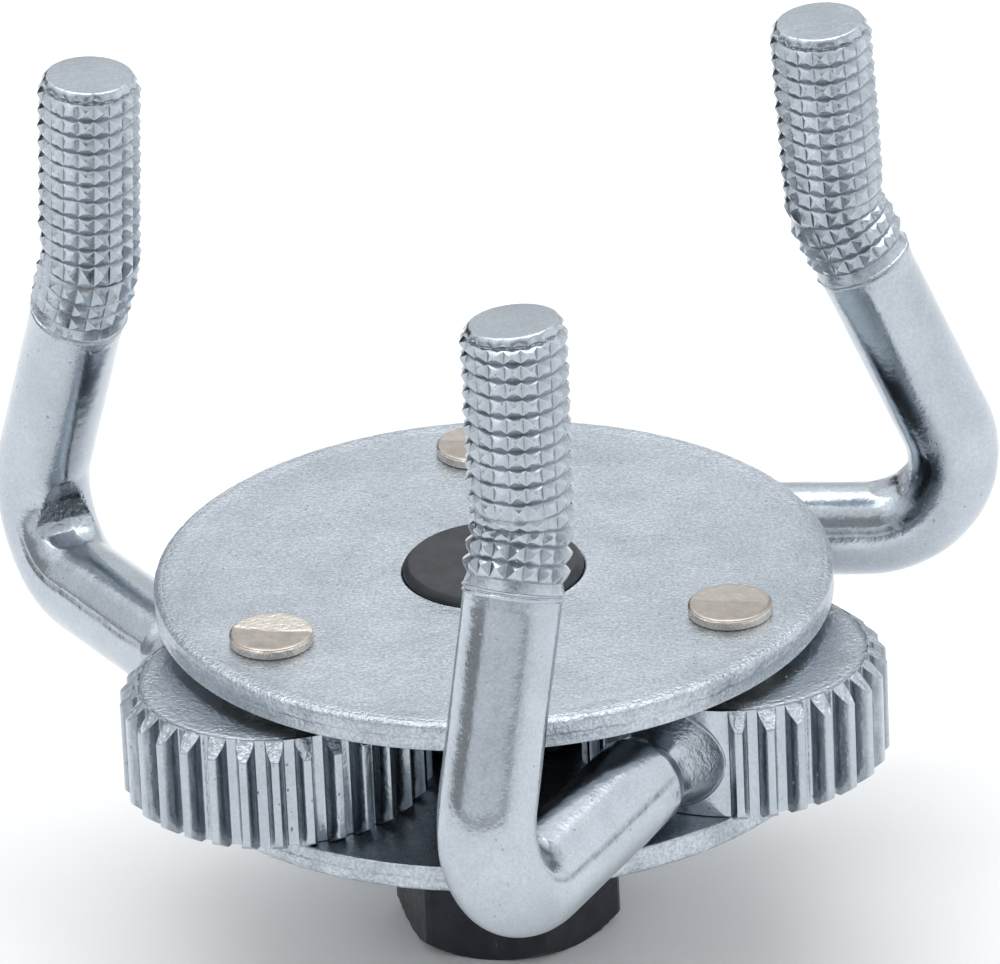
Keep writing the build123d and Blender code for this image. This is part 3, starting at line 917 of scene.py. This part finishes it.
def gear_skin(build, foot_ring):
    """The arm's gear about the Z axis, with its wall left open and patched round the neck's foot."""
    columns = gear_outline(GEAR_TEETH, FIRST_TOOTH, NECK_CLEAR)
    wall = gear_rings(build, columns, GEAR_TEETH, GEAR_BOTTOM, GEAR_TOP, FOOT_BEVEL, TOP_BEVEL, BURR)

    def circle(r, z, rough=0.0):
        points = []
        for a, _ in columns:
            x, y = polar(r, a)
            points.append((x, y, z + rough * bumps(x, y, z, 2.6, 1.0)))
        return build.ring(points)

    face_r = GEAR_TIP_R - TOP_BEVEL[0]
    chain = [circle(BORE_R, GEAR_TOP - BORE_LEAD_IN), circle(BORE_R, GEAR_BOTTOM + BORE_LEAD_IN),
             circle(BORE_R + BORE_LEAD_IN, GEAR_BOTTOM), circle(BORE_R + 0.9, GEAR_BOTTOM),
             circle(8.0, GEAR_BOTTOM), circle(11.0, GEAR_BOTTOM), circle(GEAR_ROOT_R - 0.25, GEAR_BOTTOM)]
    chain += wall
    chain += [circle(face_r - 0.12, GEAR_TOP)]
    for r in (13.2, 12.4, 11.6, 10.8, 10.0, 9.0, 8.0, 7.0):
        ring = circle(r, GEAR_TOP - 0.012, 0.012)
        for n in ring:
            x, y, _ = build.points[n]
            border = smooth_step((r - 11.2 + 0.9 * bumps(x, y, 0, 2.4, 9.0)) / 1.4)
            build.mark(n, 0.4 + 0.5 * border, 0.15 * border)
        chain.append(ring)
    chain += [circle(BORE_R + BORE_LEAD_IN + 0.1, GEAR_TOP), circle(BORE_R + BORE_LEAD_IN, GEAR_TOP)]

    # Columns beside the neck, and the rings of the plain wall between which the skin stays open.
    near = [i for i, (a, _) in enumerate(columns) if abs((a + pi) % (2 * pi) - pi) < WALL_WINDOW]
    near.sort(key=lambda i: (columns[i][0] + pi) % (2 * pi))
    open_cells = set(near[:-1])
    low_ring, high_ring = wall[3], wall[9]
    open_from, open_to = chain.index(low_ring), chain.index(high_ring)
    count = len(columns)
    for k, (a, b) in enumerate(zip(chain, chain[1:] + chain[:1])):
        for i in range(count):
            if open_from <= k < open_to and i in open_cells:
                continue
            j = (i + 1) % count
            build.faces.append((a[i], a[j], b[j], b[i]))

    border = [low_ring[i] for i in near]
    border += [chain[k][near[-1]] for k in range(open_from + 1, open_to)]
    border += [high_ring[i] for i in reversed(near)]
    border += [chain[k][near[0]] for k in range(open_to - 1, open_from, -1)]
    patch_wall(build, border, foot_ring)


def patch_wall(build, border, hole):
    """Fills the root cylinder between a border and the neck's foot, unrolled to (round, up)."""
    numbers = border + hole
    start = len(border)
    flat = [Vector((GEAR_ROOT_R * np.arctan2(y, x), z)) for x, y, z in (build.points[n] for n in numbers)]
    edges = [(i, (i + 1) % start) for i in range(start)]
    edges += [(start + i, start + (i + 1) % len(hole)) for i in range(len(hole))]
    low, high = min(p.y for p in flat), max(p.y for p in flat)
    left, right = min(p.x for p in flat), max(p.x for p in flat)

    centre = np.array(sum(flat[start:], Vector((0, 0))) / len(hole))
    spread = np.array([tuple(p) for p in flat[start:]]) - centre
    hole_angles = np.arctan2(spread[:, 1], spread[:, 0])
    order = np.argsort(hole_angles)
    reaches = np.linalg.norm(spread, axis=1)[order]

    def in_hole(p, grow=0.0):
        d = np.array(p) - centre
        reach = np.interp(np.arctan2(d[1], d[0]), hole_angles[order], reaches, period=2 * pi)
        return np.hypot(*d) < reach + grow

    z = low + WALL_STEP
    while z < high - 0.5 * WALL_STEP:
        x = left + WALL_STEP
        while x < right - 0.5 * WALL_STEP:
            if not in_hole((x, z), 0.35):
                numbers.append(build.point((*polar(GEAR_ROOT_R, x / GEAR_ROOT_R), z)))
                flat.append(Vector((x, z)))
            x += WALL_STEP
        z += WALL_STEP
    verts, _, faces, origins, _, _ = delaunay_2d_cdt(flat, edges, [], 1, 1e-7)
    lookup = [numbers[o[0]] for o in origins]
    for face in faces:
        if not in_hole(sum((verts[v] for v in face), Vector((0, 0))) / len(face)):
            build.faces.append(tuple(lookup[v] for v in face))


def claw_arm(name, skin, pivot, angle, cut):
    """Places the arm's skin on its pivot at the rest pose, and slopes its end's cut by (x, y)."""
    turn = radians(angle + ARM_REST)
    c, s = cos(turn), sin(turn)
    tip = Vector(ROD_POINTS[-1])
    slope = Vector(cut)
    points = []
    for x, y, z in skin.points:
        x, y, z = (pivot.x + c * x - s * y, pivot.y + s * x + c * y, z)
        share = smooth_step((z - tip.z + CUT_DEPTH) / CUT_DEPTH)
        if share > 0:
            off = Vector((x, y)) - Vector((pivot.x + c * tip.x - s * tip.y, pivot.y + s * tip.x + c * tip.y))
            z += share * (off.dot(slope) - slope.length * ROD_R)
        points.append((x, y, z))
    return make_object(name, skin, points)


# ------------------------------------------------------------------ materials
def feed(tree, value, socket):
    """Links a node's output to a socket, or gives the socket a number or a colour."""
    if isinstance(value, bpy.types.NodeSocket):
        tree.links.new(value, socket)
    elif hasattr(value, "__len__"):
        socket.default_value = (*value, 1)
    else:
        socket.default_value = value


def math_node(tree, operation, *values):
    node = tree.nodes.new("ShaderNodeMath")
    node.operation = operation
    for value, socket in zip(values, node.inputs):
        feed(tree, value, socket)
    return node.outputs[0]


class Nodes:
    """A short way to write a material's nodes. Sizes are in mm."""

    def __init__(self, name):
        self.material = bpy.data.materials.new(name)
        self.material.use_nodes = True
        self.tree = self.material.node_tree
        self.coords = self.tree.nodes.new("ShaderNodeTexCoord").outputs["Object"]

    def make(self, kind, **inputs):
        node = self.tree.nodes.new(kind)
        for key, value in inputs.items():
            feed(self.tree, value, node.inputs[key])
        return node

    def scaled(self, size, stretch):
        mapping = self.make("ShaderNodeMapping", Vector=self.coords)
        mapping.inputs["Scale"].default_value = [k / (size * MM) for k in stretch]
        return mapping.outputs["Vector"]

    def noise(self, size, detail=3.0, roughness=0.6, stretch=(1, 1, 1)):
        """Noise with features of a size."""
        return self.make("ShaderNodeTexNoise", Vector=self.scaled(size, stretch), Scale=1.0, Detail=detail,
                         Roughness=roughness).outputs["Fac"]

    def ramp(self, source, *stops):
        """Colour ramp with (position, colour or grey) stops."""
        node = self.make("ShaderNodeValToRGB", Fac=source)
        elements = node.color_ramp.elements
        while len(elements) < len(stops):
            elements.new(0.5)
        for element, (place, colour) in zip(elements, stops):
            element.position = place
            element.color = (*(colour if hasattr(colour, "__len__") else [colour] * 3), 1)
        return node.outputs["Color"]

    def mix(self, amount, a, b, blend="MIX"):
        node = self.tree.nodes.new("ShaderNodeMix")
        node.data_type = "RGBA"
        node.blend_type = blend
        for value, socket in ((amount, node.inputs[0]), (a, node.inputs[6]), (b, node.inputs[7])):
            feed(self.tree, value, socket)
        return node.outputs[2]

    def math(self, operation, a, b):
        return math_node(self.tree, operation, a, b)

    def bump(self, height, distance, **under):
        """Bump of a distance; under may give the Normal it is laid on."""
        return self.make("ShaderNodeBump", Strength=1.0, Distance=distance * MM, Height=height,
                         **under).outputs["Normal"]

    def mark(self, kind):
        """The finish marked on the mesh's points: roughness, or darkening by dirt and painted shade."""
        node = self.tree.nodes.new("ShaderNodeAttribute")
        node.attribute_name = kind
        return node.outputs["Fac"]

    def pits(self, spacing, radius):
        """Ragged pits in loose clusters, 1 inside and 0 outside."""
        node = self.make("ShaderNodeTexVoronoi", Vector=self.scaled(spacing, (1, 1, 0.55)), Scale=1.0)
        edge = radius / spacing
        rag = self.ramp(self.noise(0.35, 2.0, 0.55), (0.3, 0.0), (0.7, edge))
        ragged = self.math("ADD", node.outputs["Distance"], rag)
        dots = self.ramp(ragged, (0.0, 1.0), (0.7 * edge, 1.0), (1.3 * edge, 0.0))
        return self.math("MULTIPLY", dots, self.ramp(self.noise(9.0, 2.0, 0.55), (0.48, 0.0), (0.56, 1.0)))

    def shade(self, colour, roughness, metallic, normal):
        """Sets the shader and gives the material."""
        inputs = self.tree.nodes["Principled BSDF"].inputs
        for key, value in (("Base Color", colour), ("Roughness", roughness), ("Metallic", metallic),
                           ("Normal", normal)):
            feed(self.tree, value, inputs[key])
        return self.material


def zinc(name, grain, roughness, light, peel, speckle, pitting):
    """Zinc plating over steel: pale blue-grey, clouded, with grain, orange peel and small dark pits."""
    n = Nodes(name)
    rough, dirt_and_shade = n.mark("rough"), n.mark("dirt_and_shade")
    colour = n.ramp(n.noise(7.0, 5.0, 0.65), (0.3, (0.43, 0.475, 0.52)), (0.7, light))
    fine = n.ramp(n.noise(0.32), (0.35, 1 - speckle), (0.5, 1.0), (0.66, 1 + speckle))
    colour = n.mix(1.0, colour, fine, "MULTIPLY")
    pits = n.pits(1.0, 0.13)
    streaks = n.noise(0.5, stretch=(1, 1, 0.2))
    # The marked darkening is dirt on seams and stains, and painted shade in the knurl, on gear flanks and in
    # the die marks.
    grime_and_shade = n.math("MULTIPLY", dirt_and_shade, n.ramp(streaks, (0.3, 0.4), (0.6, 1.0)))
    colour = n.mix(grime_and_shade, colour, (0.055, 0.063, 0.076))
    colour = n.mix(n.math("MULTIPLY", pits, pitting), colour, (0.14, 0.145, 0.155))
    low, high = roughness
    plain = n.ramp(n.noise(3.0, 5.0, 0.7), (0.3, low), (0.7, high))
    peeled = n.bump(n.noise(1.3, roughness=0.55), peel)
    pitted = n.bump(n.math("SUBTRACT", 1.0, pits), 0.09, Normal=peeled)
    grained = n.bump(n.noise(0.36), grain, Normal=pitted)
    frosted = n.bump(n.math("MULTIPLY", rough, n.noise(0.45)), 0.22, Normal=grained)
    return n.shade(colour, n.mix(rough, plain, (0.33, 0.33, 0.33)), 1.0, frosted)


def nickel(name):
    """Warm bright nickel on the rivets: smooth and a little stained, or struck rough and paler."""
    n = Nodes(name)
    rough = n.mark("rough")
    colour = n.ramp(n.noise(1.6, 4.0), (0.3, (0.39, 0.345, 0.31)), (0.7, (0.52, 0.475, 0.43)))
    colour = n.mix(rough, colour, (0.72, 0.67, 0.61))
    grained = n.bump(n.noise(0.4), 0.012)
    struck = n.bump(n.math("MULTIPLY", rough, n.noise(0.7)), 0.18, Normal=grained)
    return n.shade(colour, n.ramp(n.noise(1.2), (0.3, 0.20), (0.7, 0.34)), 1.0, struck)


def black_oxide(name):
    """Near-black oxide on the spindle, with fine scratches down to the steel."""
    n = Nodes(name)
    colour = n.ramp(n.noise(2.5, 4.0), (0.3, (0.011, 0.013, 0.019)), (0.7, (0.026, 0.030, 0.040)))
    scratch = n.ramp(n.noise(0.35, 2.0, 0.5, stretch=(1, 1, 0.12)), (0.0, 0.0), (0.72, 0.0), (0.78, 1.0))
    colour = n.mix(scratch, colour, (0.20, 0.20, 0.21))
    roughness = n.ramp(n.noise(1.5), (0.3, 0.36), (0.7, 0.5))
    return n.shade(colour, roughness, 0.2, n.bump(n.noise(0.6), 0.015))


# ------------------------------------------------------------------ the pieces
ZINC_PLATE = zinc("zinc_plate", grain=0.065, roughness=(0.26, 0.36), light=(0.55, 0.60, 0.65),
                  peel=0.05, speckle=0.2, pitting=0.65)
ZINC_FORGING = zinc("zinc_forging", grain=0.018, roughness=(0.12, 0.22), light=(0.52, 0.57, 0.62),
                    peel=0.04, speckle=0.08, pitting=0.3)
NICKEL = nickel("rivet_nickel")
BLACK_OXIDE = black_oxide("black_oxide_steel")


def dress(obj, material, body, node):
    obj.data.materials.append(material)
    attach(obj, body)
    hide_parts(node)


top = plate("top_plate_skin", PLATE_LOW.z, PLATE_HIGH.z, UPPER_JOURNAL_R + JOURNAL_FIT, rolled_up=True)
dress(top, ZINC_PLATE, "frame", "top_plate")
base = plate("bottom_plate_skin", BASE_LOW.z, BASE_HIGH.z, LOWER_JOURNAL_R + JOURNAL_FIT, rolled_up=False)
dress(base, ZINC_PLATE, "frame", "bottom_plate")
dress(spindle("drive_spindle_skin"), BLACK_OXIDE, "drive", "drive_spindle")
for number, (pivot, angle, cut) in enumerate(zip(PIVOTS, PIVOT_ANGLES, CUT_SLOPES), start=1):
    rivet_piece = rivet(f"pivot_rivet_{number}_skin", pivot, number * 3.7, STRUCK[number - 1])
    dress(rivet_piece, NICKEL, "frame", f"pivot_rivet_{number}")
    skin = claw_arm_skin(number * 5.3, FACET_WIDTHS[number - 1])
    arm = claw_arm(f"claw_arm_{number}_skin", skin, pivot, angle, cut)
    dress(arm, ZINC_FORGING, f"claw_{number}", f"claw_arm_{number}")


# ------------------------------------------------------------------ stage, light and camera
def stage_floor():
    """A plain pale floor at height 0, under the hex's end face. The tool stands on it."""
    half = 6.0
    corners = [(-half, -half, 0), (half, -half, 0), (half, half, 0), (-half, half, 0)]
    mesh = bpy.data.meshes.new("floor")
    mesh.from_pydata(corners, [], [(0, 1, 2, 3)])
    floor = bpy.data.objects.new("floor", mesh)
    bpy.context.scene.collection.objects.link(floor)
    material = bpy.data.materials.new("floor")
    material.use_nodes = True
    shader = material.node_tree.nodes["Principled BSDF"]
    shader.inputs["Base Color"].default_value = (0.96, 0.96, 0.96, 1)
    shader.inputs["Roughness"].default_value = 0.9
    shader.inputs["Specular IOR Level"].default_value = 0.1
    floor.data.materials.append(material)


def soft_light(name, place, aim, size, power):
    data = bpy.data.lights.new(name, "AREA")
    data.shape = "RECTANGLE"
    data.size, data.size_y = size
    data.energy = power
    lamp = bpy.data.objects.new(name, data)
    lamp.location = place
    lamp.rotation_euler = (Vector(aim) - Vector(place)).to_track_quat("-Z", "Y").to_euler()
    bpy.context.scene.collection.objects.link(lamp)


# Where the studio differs from its plain brightness: radiance, turn to the right of the camera's side
# (low, high), height (low, high) and softness, in degrees.
STUDIO_RADIANCE = 0.84
SURROUNDINGS = (
    (1.22, (-190, -110), (32, 66), 8),
    (1.22, (110, 190), (32, 66), 8),
    (0.92, (-60, 60), (2, 27), 6),
    (0.36, (-24, 20), (22, 54), 3),
    (0.36, (-112, -66), (2, 27), 4),
    (1.30, (-105, -42), (42, 66), 6),
    (1.22, (55, 125), (-5, 42), 8),
    (0.34, (-125, 40), (-10, 6), 3),
    (0.05, (-170, -136), (-10, 21), 3),
    (1.05, (-190, 190), (65, 100), 6),
)


def world_light():
    """A soft studio by direction: bright overhead and at the sides, with darker gaps near the camera."""
    world = bpy.data.worlds.new("studio")
    bpy.context.scene.world = world
    world.use_nodes = True
    tree = world.node_tree

    def calculate(operation, *values):
        return math_node(tree, operation, *values)

    def step(value, place, soft):
        node = tree.nodes.new("ShaderNodeMapRange")
        node.interpolation_type = "SMOOTHSTEP"
        tree.links.new(value, node.inputs["Value"])
        node.inputs["From Min"].default_value = radians(place - soft)
        node.inputs["From Max"].default_value = radians(place + soft)
        return node.outputs["Result"]

    def window(value, span, soft):
        return calculate("SUBTRACT", step(value, span[0], soft), step(value, span[1], soft))

    direction = tree.nodes.new("ShaderNodeSeparateXYZ")
    tree.links.new(tree.nodes.new("ShaderNodeTexCoord").outputs["Generated"], direction.inputs[0])
    x, y, z = direction.outputs
    turn = calculate("ARCTAN2", x, calculate("MULTIPLY", y, -1.0))
    height = calculate("ARCSINE", z)
    radiance = STUDIO_RADIANCE
    for value, turns, heights, soft in SURROUNDINGS:
        share = calculate("MULTIPLY", window(turn, turns, soft), window(height, heights, soft))
        change = calculate("MULTIPLY", share, calculate("SUBTRACT", value, radiance))
        radiance = calculate("ADD", radiance, change)
    background = tree.nodes["Background"]
    background.inputs["Color"].default_value = (0.97, 0.985, 1.0, 1)
    tree.links.new(radiance, background.inputs["Strength"])


def camera():
    """A long lens from the front, a little to the left and 26 degrees up."""
    azimuth, elevation, roll = radians(2.345), radians(26.324), radians(-2.577)
    aim = Vector((0.00109, -0.00005, 0.05014))
    distance = 1.08906
    forward = Vector((sin(azimuth) * cos(elevation), cos(azimuth) * cos(elevation), -sin(elevation)))
    level = Vector((cos(azimuth), -sin(azimuth), 0))
    upright = level.cross(forward)
    right = level * cos(roll) + upright * sin(roll)
    up = right.cross(forward)
    data = bpy.data.cameras.new("camera")
    data.lens = 382.76
    data.sensor_width = 36.0
    data.clip_start = 0.01
    data.clip_end = 50.0
    cam = bpy.data.objects.new("camera", data)
    matrix = Matrix((right, up, -forward)).transposed().to_4x4()
    matrix.translation = aim - forward * distance
    cam.matrix_world = matrix
    bpy.context.scene.collection.objects.link(cam)
    bpy.context.scene.camera = cam


stage_floor()
world_light()
soft_light("overhead", (0.0, 0.3, 1.2), (0, 0, 0.05), (1.2, 1.0), 6)
camera()
bpy.context.scene.view_settings.view_transform = "Standard"
